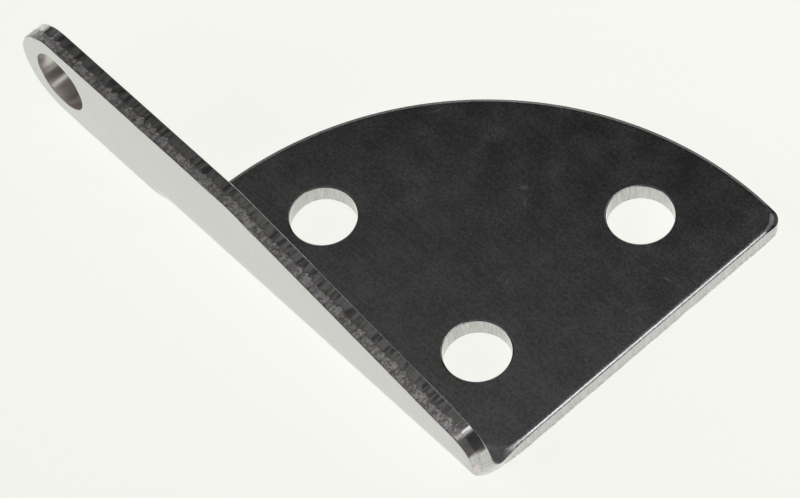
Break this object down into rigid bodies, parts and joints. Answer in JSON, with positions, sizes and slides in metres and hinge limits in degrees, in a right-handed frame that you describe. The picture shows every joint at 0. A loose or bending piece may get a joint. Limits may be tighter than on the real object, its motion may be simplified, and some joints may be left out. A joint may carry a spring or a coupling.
{
  "type": "door hinge bracket",
  "caption": "Folded sheet-steel hinge bracket: a quadrant mounting plate with screw holes, and an upstanding flange that runs out into an arm with a pivot hole.",
  "frame": {"origin": "centre of the square spanned by the screw holes, on the plate's underside", "axes": "+Z from the plate's underside to its top, +Y along the fold towards the pivot hole, +X across the plate away from the flange"},
  "size_m": [0.0378, 0.06, 0.0114],
  "materials": {
    "steel": "polished"
  },
  "bodies": {
    "root": {"hinge_bracket": "steel"}
  },
  "joints": []
}
